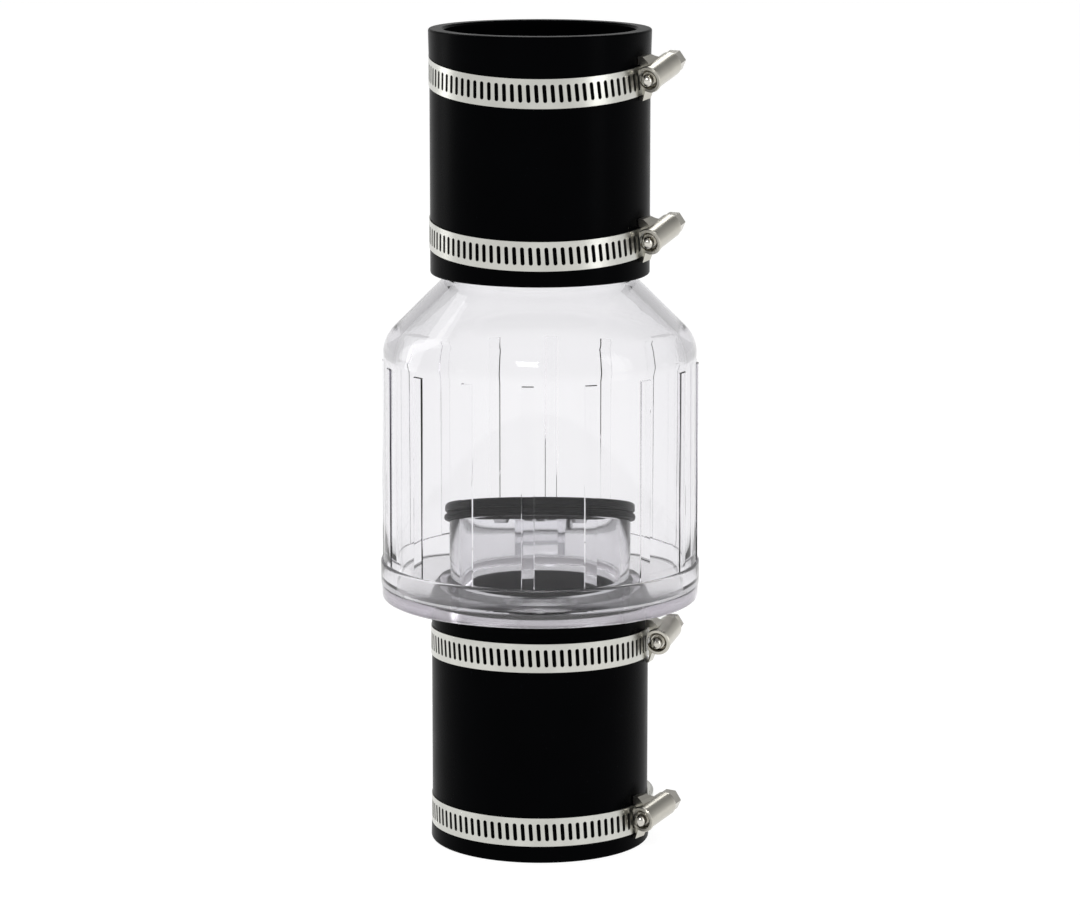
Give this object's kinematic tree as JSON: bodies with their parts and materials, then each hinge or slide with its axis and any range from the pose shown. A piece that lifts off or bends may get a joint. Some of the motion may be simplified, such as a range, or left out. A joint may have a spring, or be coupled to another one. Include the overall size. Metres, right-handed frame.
{
  "type": "check valve",
  "caption": "Clear inline check valve: a hinged flapper on an inclined seat in a ribbed transparent chamber, with rubber pipe sleeves held by worm-drive clamps.",
  "frame": {"origin": "centre of the lower sleeve's foot, on the pipe's axis", "axes": "+Z along the pipe's axis in the flow direction, from the inlet sleeve to the outlet sleeve; +Y towards the flapper's hinge; +X towards the clamp screws"},
  "size_m": [0.1016, 0.1016, 0.26],
  "materials": {
    "black_rubber": "satin moulded rubber",
    "seal_rubber": "matte moulded rubber",
    "black_plastic": "satin moulded plastic",
    "clear_plastic": "clear and glossy, with a faint cool tint",
    "clear_plastic_cap": "clear and glossy, with a faint cool tint",
    "frosted_plastic": "translucent, slightly frosted",
    "band_steel": "satin rolled stainless steel",
    "housing_steel": "satin pressed stainless steel",
    "screw_steel": "plated steel",
    "pin_steel": "bright stainless steel"
  },
  "bodies": {
    "valve_body": {"upper_sleeve": "black_rubber", "lower_sleeve": "black_rubber", "chamber": "clear_plastic", "base_cap": "clear_plastic_cap", "seat_tube": "frosted_plastic", "hinge_bracket": "frosted_plastic", "hinge_pin": "pin_steel", "pin_clip": "pin_steel", "clamp_band_outlet_pipe": "band_steel", "clamp_band_outlet_neck": "band_steel", "clamp_band_inlet_neck": "band_steel", "clamp_band_inlet_pipe": "band_steel", "clamp_housing_outlet_pipe": "housing_steel", "clamp_housing_outlet_neck": "housing_steel", "clamp_housing_inlet_neck": "housing_steel", "clamp_housing_inlet_pipe": "housing_steel"},
    "flapper": {"flapper_plate": "black_plastic", "flapper_seal": "seal_rubber", "seal_retainer": "black_plastic", "retainer_screws": "pin_steel"},
    "screw_outlet_pipe": {"clamp_screw_outlet_pipe": "screw_steel"},
    "screw_outlet_neck": {"clamp_screw_outlet_neck": "screw_steel"},
    "screw_inlet_neck": {"clamp_screw_inlet_neck": "screw_steel"},
    "screw_inlet_pipe": {"clamp_screw_inlet_pipe": "screw_steel"}
  },
  "joints": [
    {"name": "flapper_hinge", "type": "hinge", "parent": "valve_body", "child": "flapper", "pos_m": [0, 0.03352, 0.09422], "axis": [-1, 0, 0], "range_deg": [0, 60]},
    {"name": "screw_turn_outlet_pipe", "type": "hinge", "parent": "valve_body", "child": "screw_outlet_pipe", "pos_m": [0.03678, -0.01501, 0.24759], "axis": [0.506, 0.8161, 0.2792], "continuous": true},
    {"name": "screw_turn_outlet_neck", "type": "hinge", "parent": "valve_body", "child": "screw_outlet_neck", "pos_m": [0.0371, -0.01424, 0.19705], "axis": [0.4934, 0.8309, 0.2572], "continuous": true},
    {"name": "screw_turn_inlet_neck", "type": "hinge", "parent": "valve_body", "child": "screw_inlet_neck", "pos_m": [0.03934, -0.0059, 0.06721], "axis": [0.3157, 0.9381, 0.1426], "continuous": true},
    {"name": "screw_turn_inlet_pipe", "type": "hinge", "parent": "valve_body", "child": "screw_inlet_pipe", "pos_m": [0.0361, -0.01669, 0.01194], "axis": [0.5625, 0.8093, 0.1694], "continuous": true}
  ]
}
